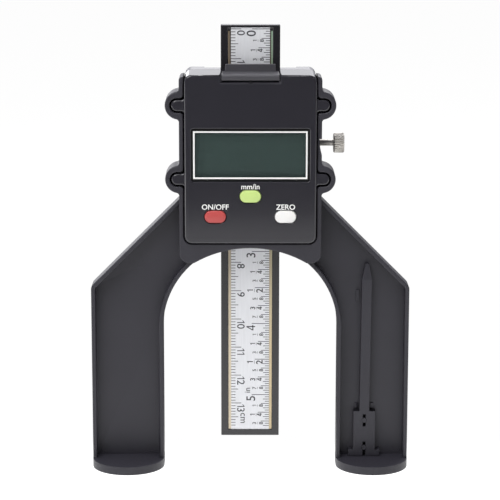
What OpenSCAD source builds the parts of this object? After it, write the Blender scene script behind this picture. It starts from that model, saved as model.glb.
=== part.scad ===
// Digital height gauge: an arched stand on two magnetic feet carries a display body,
// and a printed scale bar slides up and down through the body.
// X runs across the front, Y runs from front to back, Z is up.
// The origin is on the table, midway between the feet.

/* [Stand frame] */
// Clear width between the two legs
leg_gap = 59.5; // [52:0.5:76]
// Width of one leg across the front
leg_w = 24.5; // [22:0.5:30]
// Height where the round arch starts
arch_spring_z = 49.05; // [44:0.05:54]
// Height of the outer shoulder, where the sloping arm starts
shoulder_z = 63.5; // [60:0.1:70]
// Rounding of the outer shoulder
shoulder_r = 2.5; // [1:0.1:5]
// Depth of the arms from front to back
arm_d = 8; // [7:0.1:10]
// Thickness of the rim that borders each arm
rim_t = 1.4; // [1:0.1:2.4]
// Depth of the front recess, from the rim to the web
recess_d = 5; // [4:0.1:6]

/* [Feet] */
// Length of a foot from front to back
foot_l = 30; // [26:0.5:36]
// How far a foot reaches past its leg on each side
foot_flange = 0.1; // [0.1:0.1:1.5]
// Thickness of a foot
foot_t = 2.8; // [2.6:0.1:3.2]
// Diameter of the magnets under the feet
magnet_d = 8; // [5:0.5:9]
// Thickness of the magnets
magnet_t = 1.7; // [1:0.1:1.8]

/* [Body ring] */
// How far the ring stands in front of the arms
ring_proud = 3.5; // [2:0.1:4.5]
// Thickness of the ring's side walls
ring_t = 1.4; // [1.3:0.05:2.2]
// Gap between the ring and the display body
body_gap = 0.35; // [0.3:0.05:0.6]
// Thickness of the ring under the body, at mid span
sill_t = 1.38; // [0.9:0.02:2]
// Height from the arch of the arms to the body
body_lift = 0.45; // [0.4:0.05:2]
// How far the ring's lower corners reach below the body
skirt_h = 6.9; // [6:0.1:8]
// Rounding of the ring's lower corners
skirt_r = 3.2; // [2:0.1:4]
// Radius of the shallow arch under the ring
skirt_arch_r = 37.5; // [34:0.5:44]
// How far the ring's side walls end below the body's top
ring_drop = 0.7; // [0.2:0.05:2]

/* [Lugs] */
// Outer radius of the ring's lugs
lug_r = 4.7; // [4.2:0.1:5.4]
// Radius of the cup inside each lug
cup_r = 2.45; // [2.3:0.05:2.8]
// Radius of the body's tabs, which sit in the cups
tab_r = 1.9; // [1.7:0.05:2]
// How far the middle of a tab lies outside the body
tab_reach = 2.45; // [2.2:0.05:2.8]
// Height of the lower lugs above the body's bottom
lug_z = 21.8; // [20:0.1:24]
// Distance from the lower lugs to the upper lugs
lug_pitch = 24.9; // [23:0.1:26]
// Rounding where lugs, cups and tabs meet the side walls
lug_fillet = 1.1; // [0.6:0.1:1.3]

/* [Display body] */
// Width of the body
body_w = 44.3; // [43:0.1:46]
// Height of the body
body_h = 57; // [56:0.1:60]
// Rounding of the body's corners
body_r = 2.4; // [1.5:0.1:3]
// Rounding of the body's front edge
edge_r = 0.7; // [0.3:0.05:1]
// How far the body's face stands in front of the ring
face_proud = 0.8; // [0.7:0.05:1.5]
// Depth of the front housing, from its face to the seam
front_d = 11.2; // [11:0.05:12]
// How much the body's top rises from the face to the seam
top_rise = 0.6; // [0:0.05:0.8]
// Thickness of the side and bottom walls
wall_t = 1.5; // [1.2:0.05:1.8]
// Thickness of the front wall
face_t = 1.8; // [1.6:0.05:2]
// Thickness of the top wall, which holds the battery drawer
top_t = 3.6; // [3.4:0.1:4]
// Thickness of the back cover's wall
cover_t = 1.3; // [1.2:0.05:2]
// Width of the two rails on the back cover
rail_w = 6.4; // [6.2:0.1:7]
// Height of the rails over the back cover
rail_h = 3; // [2.4:0.1:3.4]

/* [Display] */
// Width of the display window
window_w = 38.6; // [36:0.1:39]
// Height of the display window
window_h = 16.75; // [15:0.05:17]
// Thickness of the display window
window_t = 0.6; // [0.4:0.05:0.8]
// How far the window's face lies behind the body's face
window_sink = 0.3; // [0.1:0.05:0.6]
// Height of the window's middle above the body's bottom
window_z = 30.1; // [29:0.05:31]
// Width of the dark recess around the window
window_margin = 0.6; // [0.3:0.05:0.7]
// Width of the border that glues the window down
window_border = 0.75; // [0.5:0.05:1]
// Thickness of the liquid crystal panel
lcd_t = 2.2; // [1.6:0.1:2.3]

/* [Buttons] */
// Length of a button
button_w = 7.1; // [6:0.1:7.6]
// Height of a button
button_h = 4.1; // [3.4:0.1:4.4]
// How far a button stands out of the face
button_proud = 0.7; // [0.65:0.05:1]
// How far a button can be pressed
button_travel = 0.6; // [0.3:0.05:0.6]
// Clearance round a button in its hole
button_gap = 0.15; // [0.1:0.01:0.2]
// Distance of the left and right buttons from the middle
button_x = 11.8; // [11:0.1:12.2]
// Height of the left and right buttons above the body's bottom
button_low_z = 9.25; // [8.6:0.05:9.5]
// Height of the middle button above the body's bottom
button_mid_z = 16.2; // [15:0.05:16.6]

/* [Battery] */
// Diameter of the coin cell
cell_d = 16; // [12:0.1:16.2]
// Thickness of the coin cell
cell_t = 3.2; // [2:0.1:3.2]
// Width of the battery drawer
drawer_w = 19.2; // [18.8:0.1:20]
// Height of the drawer's head
drawer_head_h = 2; // [1.8:0.1:2.6]
// Height of the drawer's finger lip over its head
lip_h = 2.5; // [1.5:0.1:3]
// Width of the finger lip along its top
lip_w = 16.8; // [12:0.1:18]
// Thickness of the finger lip
lip_t = 1.1; // [1:0.1:1.6]
// How far the finger lip's front leans back from its foot to its top
lip_lean = 0.2; // [0:0.1:1.4]

/* [Scale bar] */
// Width of the bar
bar_w = 20; // [19:0.1:20.6]
// Thickness of the bar
bar_t = 4.2; // [4:0.05:4.6]
// Length of the bar
bar_l = 142.9; // [138:0.1:160]
// Height of the bar's foot above the table, as shown
bar_lift = 8.9; // [0.5:0.1:60]
// Sliding clearance on each side of the bar
bar_play = 0.1; // [0.06:0.01:0.2]
// Width of the scale board set into the bar
board_w = 15; // [14:0.1:16]
// Thickness of the scale board
board_t = 0.8; // [0.6:0.05:0.9]
// Width of the printed rule
label_w = 13.1; // [12:0.1:13.6]
// Thickness of the printed rule
label_t = 0.2; // [0.1:0.05:0.3]
// How far the rule's face lies behind the bar's rails
label_sink = 0.2; // [0.1:0.05:0.3]
// Distance from the bar's foot to the rule
rule_foot = 2.2; // [1.5:0.1:3]
// Distance from the bar's top to the rule
rule_top = 0.8; // [0.6:0.1:2]
// How far the scale board ends below the rule's top
board_short = 1.2; // [0.6:0.1:2]
// Room for the leaf spring behind the bar
spring_room = 0.6; // [0.5:0.05:0.9]
// Thickness of the leaf spring
spring_t = 0.2; // [0.1:0.05:0.25]
// Length of the leaf spring
spring_l = 38; // [24:1:46]
// Width of the leaf spring
spring_w = 8; // [5:0.5:14]

/* [Lock screw] */
// Diameter of the lock screw's thread
screw_d = 2.2; // [1.6:0.1:2.2]
// Diameter of the knurled head
head_d = 6.9; // [6:0.1:7.4]
// Length of the knurled head
head_l = 3.65; // [3:0.05:4.5]
// Distance from the ring to the knurled head
head_reach = 4.35; // [3.6:0.05:6]
// Height of the screw above the body's bottom
screw_z = 32.4; // [31.6:0.1:32.4]
// Number of knurls round the head
knurls = 36; // [24:1:48]
// Depth of the knurls
knurl_d = 0.15; // [0.05:0.01:0.25]
// Gap from the brake pad to the bar while unlocked
brake_gap = 0.3; // [0.2:0.02:0.4]

/* [Groove probe] */
// Length of the probe from its feet to its tip
probe_l = 67.9; // [60:0.1:68.4]
// Width of the probe's flat rod
rod_w = 3.45; // [3:0.05:3.6]
// How far the rod leans to the right by its tip
rod_lean = 0.45; // [0:0.05:0.6]
// Width of the probe's tip
tip_w = 1.2; // [0.8:0.1:2]
// Length of the taper at the tip
taper_l = 5.4; // [4:0.1:8]
// Width of the probe's clip block
clip_w = 7.65; // [7:0.05:8.4]
// Height of the clip block
clip_h = 16.05; // [14:0.05:18]
// Thickness of the clip block
clip_t = 2.8; // [2:0.1:3]
// Width of the two feet of the clip block
clip_foot_w = 10.7; // [9:0.05:12]
// Height of the two feet of the clip block
clip_foot_h = 2.2; // [1.6:0.1:2.6]
// Width of the slits that let the clip spread
slit_w = 1.05; // [0.8:0.05:1.2]
// Diameter of the storage pegs
peg_d = 1.6; // [1.2:0.1:1.7]
// Distance between the two storage pegs
peg_pitch = 9.8; // [9:0.1:10.4]
// How far the probe lies inside the middle of the leg
probe_shift = 2.5; // [2:0.1:2.6]

/* [Hidden] */
$fn = 48;
eps = 0.01;

// Stand frame
leg_in = leg_gap / 2;
leg_out = leg_in + leg_w;
leg_x = leg_in + leg_w / 2;
arch_top = arch_spring_z + leg_in;
arm_root_x = leg_in / 2;
arm_y0 = -arm_d / 2;
arm_y1 = arm_d / 2;
web_y0 = arm_y0 + recess_d;
foot_r = leg_w / 2 + foot_flange;
foot_y = foot_l / 2 - foot_r;
magnet_edge = 2;
magnet_y = foot_l / 2 - magnet_d / 2 - magnet_edge;
magnet_lift = 0.1;
magnet_fit = 0.03;

// Display body, from its face to the back
ring_y0 = arm_y0 - ring_proud;
face_y = ring_y0 - face_proud;
seam_y = face_y + front_d;
inner_y = face_y + face_t;
body_x = body_w / 2;
body_z0 = arch_top + body_lift;
body_z1 = body_z0 + body_h;
cavity_x = body_x - wall_t;
cavity_z0 = body_z0 + wall_t;
cavity_z1 = body_z1 - top_t;
tab_proud = 0.1;
tab_y0 = ring_y0 - tab_proud;
lug_step = 1;
lug_y1 = arm_y1 - lug_step;
cup_floor_t = 2.5;
cup_y1 = lug_y1 - cup_floor_t;
tab_x = body_x + tab_reach;
lug_zs = [body_z0 + lug_z, body_z0 + lug_z + lug_pitch];

// Ring round the body
pocket_x = body_x + body_gap;
pocket_z = body_z0 - body_gap;
ring_x = pocket_x + ring_t;
ring_z0 = body_z0 - skirt_h;
ring_z1 = body_z1 - ring_drop;
ring_top_r = 1.2;
skirt_top = pocket_z - sill_t;

// Scale bar and its channel in the back cover
bar_x = bar_w / 2;
bar_y0 = seam_y + bar_play;
bar_y1 = bar_y0 + bar_t;
bar_z1 = bar_lift + bar_l;
channel_x = bar_x + bar_play;
channel_y = bar_y1 + spring_room;
cover_y = channel_y + cover_t;
rail_y = cover_y + rail_h;
label_y = bar_y0 + label_sink;
board_y = label_y + label_t;
rule_z0 = bar_lift + rule_foot;
rule_z1 = bar_z1 - rule_top;
board_z1 = rule_z1 - board_short;
inlay_gap = 0.05;
guide_t = 1.4;
chamber_x = channel_x + guide_t;

// Display stack
window_mid = body_z0 + window_z;
window_y0 = face_y + window_sink;
window_y1 = window_y0 + window_t;
view_w = window_w - 2 * window_border;
view_h = window_h - 2 * window_border;
lcd_gap = 0.5;
lcd_w = 2 * (cavity_x - lcd_gap);
lcd_overlap = 1.65;
lcd_h = view_h + 2 * lcd_overlap;
lcd_y1 = inner_y + lcd_t;
pcb_t = 1;
pcb_room = 0.3;
pcb_y1 = seam_y - pcb_room;
pcb_y0 = pcb_y1 - pcb_t;
pcb_edge = 0.4;
zebra_h = 2;
zebra_edge = 0.5;
zebra_z = window_mid - lcd_h / 2 + zebra_edge;

// Bosses: places across and up, in pairs left and right
boss_r = 2.2;
boss_room = 0.8;
boss_rise = 3.2;
drawer_room = 1.5;
pcb_low_x = cavity_x - boss_r - boss_room;
pcb_low_z = cavity_z0 + boss_rise;
pcb_high_x = drawer_w / 2 + drawer_room + boss_r;
pcb_high_z = cavity_z1 - boss_rise;
pcb_bosses = [[-pcb_low_x, pcb_low_z], [pcb_low_x, pcb_low_z],
    [-pcb_high_x, pcb_high_z], [pcb_high_x, pcb_high_z]];
cover_boss_sink = 0.1;
lcd_room_below = 4.4;
lcd_room_above = 1.2;
cover_boss_x = cavity_x - boss_r + cover_boss_sink;
cover_low_z = window_mid - lcd_h / 2 - boss_r - lcd_room_below;
cover_high_z = window_mid + lcd_h / 2 + boss_r + lcd_room_above;
cover_bosses = [for (x = [-cover_boss_x, cover_boss_x], z = [cover_low_z, cover_high_z]) [x, z]];
cover_boss_r = 3.3;
cover_grip = 3.1;
cover_seat_y = seam_y + cover_grip;
tab_bosses = [for (x = [-tab_x, tab_x], z = lug_zs) [x, z]];

// Screws: thread, head and length in the plastic
fastener_r = 1;
fastener_head_r = 1.8;
fastener_head_h = 1.2;
board_screw_r = 0.8;
board_head_r = 1.5;
board_head_h = 0.8;
thread_gap = 0.03;
hole_gap = 0.1;
bit_room = 0.4;
tab_thread_l = 6.5;
cover_thread_l = 5;
board_thread_l = 4;
tip_room = 0.5;

// Buttons: middle, cap and place of each
button_low = body_z0 + button_low_z;
button_mid = body_z0 + button_mid_z;
button_y0 = face_y - button_proud;
flange_lip = 0.8;
flange_t = 0.8;
flange_play = 0.05;
flange_y0 = inner_y + flange_play;
flange_y1 = flange_y0 + flange_t;
stem_r = 1.4;
mat_t = 0.8;
pad_r = 1.9;
pad_h = 0.6;
mat_y0 = pcb_y0 - mat_t;
pad_y0 = mat_y0 - pad_h;
stem_y1 = pad_y0 - button_travel - flange_play;
button_places = [[-button_x, button_low], [0, button_mid], [button_x, button_low]];

// Battery drawer
head_gap = 0.45;
head_rise = 0.2;
head_sink = 0.1;
lip_setback = 1.3;
lip_inset = 1;
drawer_x = drawer_w / 2;
head_z1 = body_z1 + head_rise;
head_z0 = head_z1 - drawer_head_h;
head_y0 = face_y + head_sink;
lip_y1 = seam_y - lip_setback;
lip_y0 = lip_y1 - lip_t;
tray_gap = 0.2;
tray_inset = 0.1;
tray_side = drawer_x - tray_inset;
cell_room = 2;
cell_y1 = pcb_y0 - cell_room;
cell_y0 = cell_y1 - cell_t;
cell_gap = 0.1;
cell_drop = 1.7;
cell_z = head_z0 - cell_drop - cell_d / 2;
tray_edge = 1.3;
tray_z0 = cell_z - cell_d / 2 - tray_edge;
contact_t = 0.3;
contact_gap = 0.1;

// Lock screw and brake pad
screw_r = screw_d / 2;
screw_back = 2.7;
screw_y = bar_y0 + screw_back;
lock_z = body_z0 + screw_z;
head_x = ring_x + head_reach;
scoop_h = 5.4;
scoop_d = 0.8;
scoop_rise = 3.05;
scoop_r = (scoop_h * scoop_h + scoop_d * scoop_d) / (2 * scoop_d);
insert_t = 1;
insert_l = 4;
insert_r = screw_r + insert_t;
insert_x0 = cavity_x - insert_l;
pad_back = 1.6;
pad_rise = 1.7;
pad_x0 = bar_x + brake_gap;
pad_x1 = chamber_x + pad_back;
pad_y1 = screw_y + pad_rise;
pad_half = 4;
pad_play = 0.2;
socket_d = 0.9;
turn_gap = 0.05;

// Groove probe
probe_x = leg_x - probe_shift;
probe_gap = 0.2;
probe_z0 = foot_t + probe_gap;
probe_z1 = probe_z0 + probe_l;
clip_y1 = web_y0 - probe_gap;
clip_y0 = clip_y1 - clip_t;
clip_z1 = probe_z0 + clip_h;
peg_rise = 2.9;
peg_z = probe_z0 + peg_rise;
peg_gap = 0.1;
peg_hole_r = peg_d / 2 + peg_gap;
slit_l = 4.4;

charcoal = "#3a393c";
dark = "#2c2b2e";
steel = "#b0aaa2";
brass = "#b99a4b";

// Extrudes an outline drawn in X and Z from y0 back to y1
module along_y(y0, y1) {
    translate([0, y1, 0]) rotate([90, 0, 0]) linear_extrude(y1 - y0) children();
}

// Extrudes an outline drawn in Y and Z from x0 to x1
module along_x(x0, x1) {
    translate([x0, 0, 0]) rotate([90, 0, 90]) linear_extrude(x1 - x0) children();
}

// A box between two corners
module slab(x0, x1, y0, y1, z0, z1) {
    translate([x0, y0, z0]) cube([x1 - x0, y1 - y0, z1 - z0]);
}

// A round rod along Y, and one along X
module rod_along_y(x, z, r, y0, y1) {
    translate([x, y0, z]) rotate([-90, 0, 0]) cylinder(r = r, h = y1 - y0);
}
module rod_along_x(y, z, r, x0, x1) {
    translate([x0, y, z]) rotate([0, 90, 0]) cylinder(r = r, h = x1 - x0);
}

// Puts the same shape on the left and on the right
module both_sides() {
    for (side = [0, 1]) mirror([side, 0, 0]) children();
}

// A rectangle with round corners, from its lower left corner to its upper right one
module round_box(x0, x1, z0, z1, r) {
    translate([x0 + r, z0]) square([x1 - x0 - 2 * r, z1 - z0]);
    translate([x0, z0 + r]) square([x1 - x0, z1 - z0 - 2 * r]);
    for (x = [x0 + r, x1 - r], z = [z0 + r, z1 - r]) translate([x, z]) circle(r);
}

// A bar with round ends, about its middle
module pill(w, h) {
    square([w - h, h], center = true);
    for (x = [-1, 1]) translate([x * (w - h) / 2, 0]) circle(h / 2);
}

// A square corner filled in with a hollow quarter round, above the corner or below it
module fillet(x, z, r, below) {
    translate([x, z]) mirror([0, below, 0]) difference() {
        translate([-eps, -eps]) square(r + eps);
        translate([r, r]) circle(r);
    }
}

// The hollow round between a wall at x and a disc whose middle lies on that wall
module disc_fillet(x, z, disc_r, r, below) {
    rise = sqrt((disc_r + r) * (disc_r + r) - r * r);
    translate([x, z]) mirror([0, below, 0]) difference() {
        polygon([[-0.5, 0], [-0.5, rise], [r, rise]]);
        translate([r, rise]) circle(r);
    }
}

// Points of an arc from angle a0 to a1
function arc(x, z, r, a0, a1, n = 8) =
    [for (i = [0:n]) let (a = a0 + (a1 - a0) * i / n) [x + r * cos(a), z + r * sin(a)]];

// Outline of the right arm and leg; inset moves every edge inwards
module arm_outline(inset) {
    x1 = leg_out - inset;
    // The shoulder turns through 45 degrees, so its corner moves down by this much
    corner_z = shoulder_z - inset * tan(22.5);
    r = max(shoulder_r - inset, 0.4);
    cut = r * tan(22.5);
    root_z = corner_z + x1 - arm_root_x;
    difference() {
        polygon(concat([[arm_root_x, foot_t - 0.5], [x1, foot_t - 0.5]],
            arc(x1 - r, corner_z - cut, r, 0, 45),
            [[arm_root_x, root_z]]));
        translate([0, arch_spring_z]) circle(leg_in + inset, $fn = 120);
        translate([-1, -1]) square([leg_in + inset + 1, arch_spring_z + 1]);
    }
}

// Hollow of one arm, inside its rims and down to the foot
module arm_recess() {
    difference() {
        arm_outline(rim_t);
        translate([0, -1]) square([leg_out, foot_t + 1]);
    }
}

// Room for the body inside the ring
module pocket_outline() {
    over = 3;
    round_box(-pocket_x, pocket_x, pocket_z, body_z1 + over, body_r + body_gap);
}

// Cups in the right lugs, with rounded mouths
module cup_outline() {
    for (z = lug_zs) {
        translate([tab_x, z]) circle(cup_r);
        translate([pocket_x - 1, z - cup_r]) square([tab_x - pocket_x + 1, 2 * cup_r]);
        for (below = [0, 1]) fillet(pocket_x, z + (1 - 2 * below) * cup_r, lug_fillet, below);
    }
}

// Outline of the ring without its lugs
module ring_outline() {
    difference() {
        polygon(concat(
            arc(ring_x - ring_top_r, ring_z1 - ring_top_r, ring_top_r, 0, 90),
            arc(-ring_x + ring_top_r, ring_z1 - ring_top_r, ring_top_r, 90, 180),
            arc(-ring_x + skirt_r, ring_z0 + skirt_r, skirt_r, 180, 270),
            arc(ring_x - skirt_r, ring_z0 + skirt_r, skirt_r, 270, 360)));
        translate([0, skirt_top - skirt_arch_r]) circle(skirt_arch_r, $fn = 120);
    }
}

// Right lugs, which the display body is screwed to
module lug_outline() {
    for (z = lug_zs) {
        translate([ring_x, z]) circle(lug_r);
        for (below = [0, 1]) disc_fillet(ring_x, z, lug_r, lug_fillet, below);
    }
}

// One moulding: ring, arms, legs and feet, with the pegs that hold the groove probe
module stand_frame() {
    rib_w = 1;
    rib_y = web_y0 - 0.7;
    rib_gap = 0.45;
    low_rib_z = clip_z1 + 0.6;
    low_rib_h = 1.6;
    high_rib_z = probe_z1 - 13;
    high_rib_h = 3.5;
    rib_x0 = probe_x - rod_w / 2 - rib_gap - rib_w;
    rib_x1 = probe_x + rod_w / 2 + rib_gap;
    peg_y = clip_y0 - peg_gap;
    mark_r = 1.4;
    mark_deep = 0.15;
    mark_x = leg_w / 2 - 3.6;
    mark_z = foot_t + 2.2;
    color(charcoal) difference() {
        union() {
            both_sides() difference() {
                along_y(arm_y0, arm_y1) arm_outline(0);
                along_y(arm_y0 - 1, web_y0) arm_recess();
            }
            along_y(ring_y0, arm_y1) ring_outline();
            both_sides() along_y(ring_y0, lug_y1) lug_outline();
            for (x = [-leg_x, leg_x]) translate([x, 0, 0]) foot();
            for (z = [peg_z, peg_z + peg_pitch])
                rod_along_y(probe_x, z, peg_d / 2, peg_y, web_y0 + 1);
            for (x = [rib_x0, rib_x1])
                slab(x, x + rib_w, rib_y, web_y0 + 0.5, low_rib_z, low_rib_z + low_rib_h);
            slab(rib_x0, rib_x0 + rib_w, rib_y, web_y0 + 0.5, high_rib_z, high_rib_z + high_rib_h);
        }
        // The body passes through the ring, and its tabs rest on the floors of the cups
        along_y(ring_y0 - 1, arm_y1 + 1) pocket_outline();
        both_sides() along_y(ring_y0 - 1, cup_y1) cup_outline();
        for (p = tab_bosses) {
            rod_along_y(p[0], p[1], fastener_r + hole_gap, cup_y1 - 1, lug_y1 + 1);
            rod_along_y(p[0], p[1], fastener_head_r + bit_room, lug_y1, arm_y1 + 1);
        }
        // The bar passes behind the sill
        slab(-channel_x - 0.5, channel_x + 0.5, bar_y0 - 0.5, arm_y1 + 1, ring_z0 - 1, body_z0 + 1);
        // Scoop in the right wall, beside the lock screw
        intersection() {
            rod_along_y(ring_x - scoop_d + scoop_r, lock_z + scoop_rise, scoop_r, ring_y0 - 1, arm_y1 + 1, $fn = 160);
            slab(pocket_x, ring_x + 1, ring_y0 - 2, arm_y1 + 2, lock_z + scoop_rise - scoop_h - 1, lock_z + scoop_rise);
        }
        for (x = [-leg_x, leg_x], y = [-magnet_y, magnet_y])
            translate([x, y, -1]) cylinder(d = magnet_d + 2 * magnet_fit, h = 1 + magnet_lift + magnet_t);
        // Round marks that the mould's ejector pins leave on the webs
        for (x = [-leg_x - mark_x, -leg_x + mark_x, leg_x + mark_x])
            rod_along_y(x, mark_z, mark_r, web_y0 - 1, web_y0 + mark_deep);
    }
}

// A flat foot with round ends, about the middle of its leg
module foot() {
    slab(-foot_r, foot_r, -foot_y, foot_y, 0, foot_t);
    for (y = [-foot_y, foot_y]) translate([0, y, 0]) cylinder(r = foot_r, h = foot_t, $fn = 96);
}

module foot_magnets() {
    color(steel) for (x = [-leg_x, leg_x], y = [-magnet_y, magnet_y])
        translate([x, y, magnet_lift]) cylinder(d = magnet_d, h = magnet_t);
}

// One layer of the body, a thin slice at y
module body_layer(y, inset, rise) {
    along_y(y, y + eps) round_box(-body_x + inset, body_x - inset,
        body_z0 + inset, body_z1 - inset + rise, body_r - inset / 2, $fn = 32);
}

// Right tabs of the body
module tab_outline() {
    for (z = lug_zs) {
        translate([tab_x, z]) circle(tab_r);
        translate([body_x - 0.5, z - tab_r]) square([tab_x - body_x + 0.5, 2 * tab_r]);
        for (below = [0, 1]) fillet(body_x - 0.1, z + (1 - 2 * below) * tab_r, lug_fillet, below);
    }
}

// Front shell: face, walls, tabs and bosses
module front_housing() {
    notch_x = drawer_x + head_gap;
    notch_z0 = head_z0 - head_gap;
    notch_y1 = lip_y1 + tray_gap;
    notch_bevel = 0.7;
    recess_w = window_w + 2 * window_margin;
    recess_h = window_h + 2 * window_margin;
    color(charcoal) difference() {
        union() {
            difference() {
                hull() {
                    body_layer(face_y, edge_r, 0);
                    body_layer(face_y + edge_r * 0.13, edge_r * 0.5, 0);
                    body_layer(face_y + edge_r * 0.5, edge_r * 0.13, 0);
                    body_layer(face_y + edge_r, 0, 0);
                    body_layer(seam_y - eps, 0, top_rise);
                }
                slab(-cavity_x, cavity_x, inner_y, seam_y + 1, cavity_z0, cavity_z1);
            }
            both_sides() along_y(tab_y0, cup_y1) tab_outline();
            for (p = pcb_bosses) rod_along_y(p[0], p[1], boss_r, inner_y - 0.5, pcb_y0);
            for (p = cover_bosses) rod_along_y(p[0], p[1], boss_r, inner_y - 0.5, seam_y);
        }
        // Window: a shallow recess, then the opening that the panel shows through
        translate([0, 0, window_mid]) {
            along_y(face_y - 1, window_y1)
                round_box(-recess_w / 2, recess_w / 2, -recess_h / 2, recess_h / 2, 0.9);
            slab(-view_w / 2, view_w / 2, face_y - 1, inner_y + 1, -view_h / 2, view_h / 2);
        }
        for (p = button_places)
            translate([p[0], 0, p[1]]) along_y(face_y - 1, inner_y + 1)
                pill(button_w + 2 * button_gap, button_h + 2 * button_gap);
        // Notch for the drawer's head, its bevelled lower edge, a pry mark and the slot for the tray
        slab(-notch_x, notch_x, face_y - 1, notch_y1, notch_z0, body_z1 + 3);
        along_x(-notch_x, notch_x) polygon([[face_y - 1, notch_z0 - notch_bevel - 1],
            [face_y + notch_bevel, notch_z0 + eps], [face_y - 1, notch_z0 + eps]]);
        rod_along_y(0, notch_z0 + 0.5, 1.1, face_y - 1, face_y + 1);
        slab(-drawer_x - tray_gap, drawer_x + tray_gap, cell_y0 - tray_gap, cell_y1 + tray_gap,
            cavity_z1 - 1, body_z1 + 3);
        for (p = tab_bosses)
            rod_along_y(p[0], p[1], fastener_r + thread_gap,
                cup_y1 - tab_thread_l - tip_room, cup_y1 + 1);
        for (p = pcb_bosses)
            rod_along_y(p[0], p[1], board_screw_r + thread_gap,
                pcb_y0 - board_thread_l - tip_room, pcb_y0 + 1);
        for (p = cover_bosses)
            rod_along_y(p[0], p[1], fastener_r + thread_gap,
                seam_y - cover_thread_l - tip_room, seam_y + 1);
    }
}

// Rear shell: it holds the channel that the bar slides in
module back_cover() {
    side = body_x - 0.05;
    top = body_z1 + top_rise;
    bush_r = insert_r + 0.5;
    color(charcoal) difference() {
        union() {
            difference() {
                along_y(seam_y, rail_y) round_box(-side, side, body_z0, top, body_r);
                // Low middle between the two rails, and a hollow on each side of the channel
                slab(-side + rail_w, side - rail_w, cover_y, rail_y + 1, body_z0 - 1, top + 1);
                both_sides() slab(chamber_x, side - wall_t, seam_y - 1, channel_y,
                    body_z0 + wall_t, top - wall_t);
            }
            for (p = cover_bosses) rod_along_y(p[0], p[1], cover_boss_r, seam_y, channel_y + 0.5);
            rod_along_x(screw_y, lock_z, bush_r, insert_x0, side - 0.5);
        }
        // Channel for the bar, open at the top, the bottom and the front
        slab(-channel_x, channel_x, seam_y - 1, channel_y, body_z0 - 1, top + 1);
        // Window for the brake pad, and the seat of the threaded insert
        slab(channel_x - 1, chamber_x + 0.5, seam_y - 1, pad_y1 + pad_play, lock_z - pad_half - pad_play,
            lock_z + pad_half + pad_play);
        rod_along_x(screw_y, lock_z, insert_r + thread_gap, insert_x0 - 1, side + 1);
        for (p = cover_bosses) {
            rod_along_y(p[0], p[1], fastener_r + hole_gap, seam_y - 1, rail_y + 1);
            rod_along_y(p[0], p[1], fastener_head_r + bit_room, cover_seat_y, rail_y + 1);
        }
    }
}

// A pan-head screw along Y at place p, head at the back, with a cross recess
module pan_screw(p, r, head_r, head_h, seat_y, tip_y) {
    slot_w = head_r * 0.35;
    difference() {
        union() {
            rod_along_y(p[0], p[1], r, tip_y, seat_y + eps);
            rod_along_y(p[0], p[1], head_r, seat_y, seat_y + head_h);
        }
        for (turn = [0, 90]) translate([p[0], seat_y + head_h, p[1]]) rotate([0, turn, 0])
            cube([head_r * 1.2, head_h, slot_w], center = true);
    }
}

module cover_screws() {
    color(steel) for (p = cover_bosses)
        pan_screw(p, fastener_r, fastener_head_r, fastener_head_h, cover_seat_y, seam_y - cover_thread_l);
}

module frame_screws() {
    color(steel) for (p = tab_bosses)
        pan_screw(p, fastener_r, fastener_head_r, fastener_head_h, lug_y1, cup_y1 - tab_thread_l);
}

module display_window() {
    color("#3c4744") translate([0, 0, window_mid]) along_y(window_y0, window_y1)
        round_box(-window_w / 2, window_w / 2, -window_h / 2, window_h / 2, 0.4);
}

module lcd_panel() {
    color("#45514d") slab(-lcd_w / 2, lcd_w / 2, inner_y, lcd_y1,
        window_mid - lcd_h / 2, window_mid + lcd_h / 2);
}

// Rubber strip that carries the display's contacts to the board
module zebra_strip() {
    color("#c9c9c4") slab(-lcd_w / 2 + 1.5, lcd_w / 2 - 1.5, lcd_y1, pcb_y0, zebra_z, zebra_z + zebra_h);
}

module main_board() {
    color("#2f6b45") difference() {
        slab(-cavity_x + pcb_edge, cavity_x - pcb_edge, pcb_y0, pcb_y1,
            cavity_z0 + pcb_edge, cavity_z1 - pcb_edge);
        for (p = pcb_bosses)
            rod_along_y(p[0], p[1], board_screw_r + hole_gap, pcb_y0 - 1, pcb_y1 + 1);
        for (p = cover_bosses) rod_along_y(p[0], p[1], boss_r + pcb_edge, pcb_y0 - 1, pcb_y1 + 1);
    }
}

module board_screws() {
    color(steel) for (p = pcb_bosses)
        pan_screw(p, board_screw_r, board_head_r, board_head_h, pcb_y1, pcb_y0 - board_thread_l);
}

// Measuring chip under a drop of black resin
module control_chip() {
    chip_r = 4;
    chip_t = 1.2;
    chip_drop = 1.5;
    color("#151515") rod_along_y(0, window_mid - chip_drop, chip_r, pcb_y0 - chip_t, pcb_y0);
}

module crystal_can() {
    can_r = 1.1;
    can_l = 6;
    can_x = -16;
    can_rise = 2;
    color(steel) rod_along_x(pcb_y0 - can_r, window_mid + can_rise, can_r, can_x, can_x + can_l);
}

// Silicone sheet with one pad under each button
module key_mat() {
    margin = 2.6;
    color("#8d8d8a") {
        slab(-button_x - margin, button_x + margin, mat_y0, pcb_y0,
            button_low - margin, button_mid + margin);
        for (p = button_places)
            rod_along_y(p[0], p[1], pad_r, pad_y0, mat_y0 + eps);
    }
}

// A button: crowned cap, inner flange and stem
module button(x, z) {
    crown = 0.25;
    translate([x, 0, z]) {
        along_y(button_y0 + crown, flange_y0 + 0.1) pill(button_w, button_h);
        along_y(button_y0, button_y0 + crown + eps) pill(button_w - 2 * crown, button_h - 2 * crown);
        along_y(flange_y0, flange_y1) pill(button_w + 2 * flange_lip, button_h + 2 * flange_lip);
        rod_along_y(0, 0, stem_r, flange_y1 - 0.1, stem_y1);
    }
}

module on_off_button() { color("#c85052") button(-button_x, button_low); }
module unit_button() { color("#bee278") button(0, button_mid); }
module zero_button() { color("#f6f6f2") button(button_x, button_low); }

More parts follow.
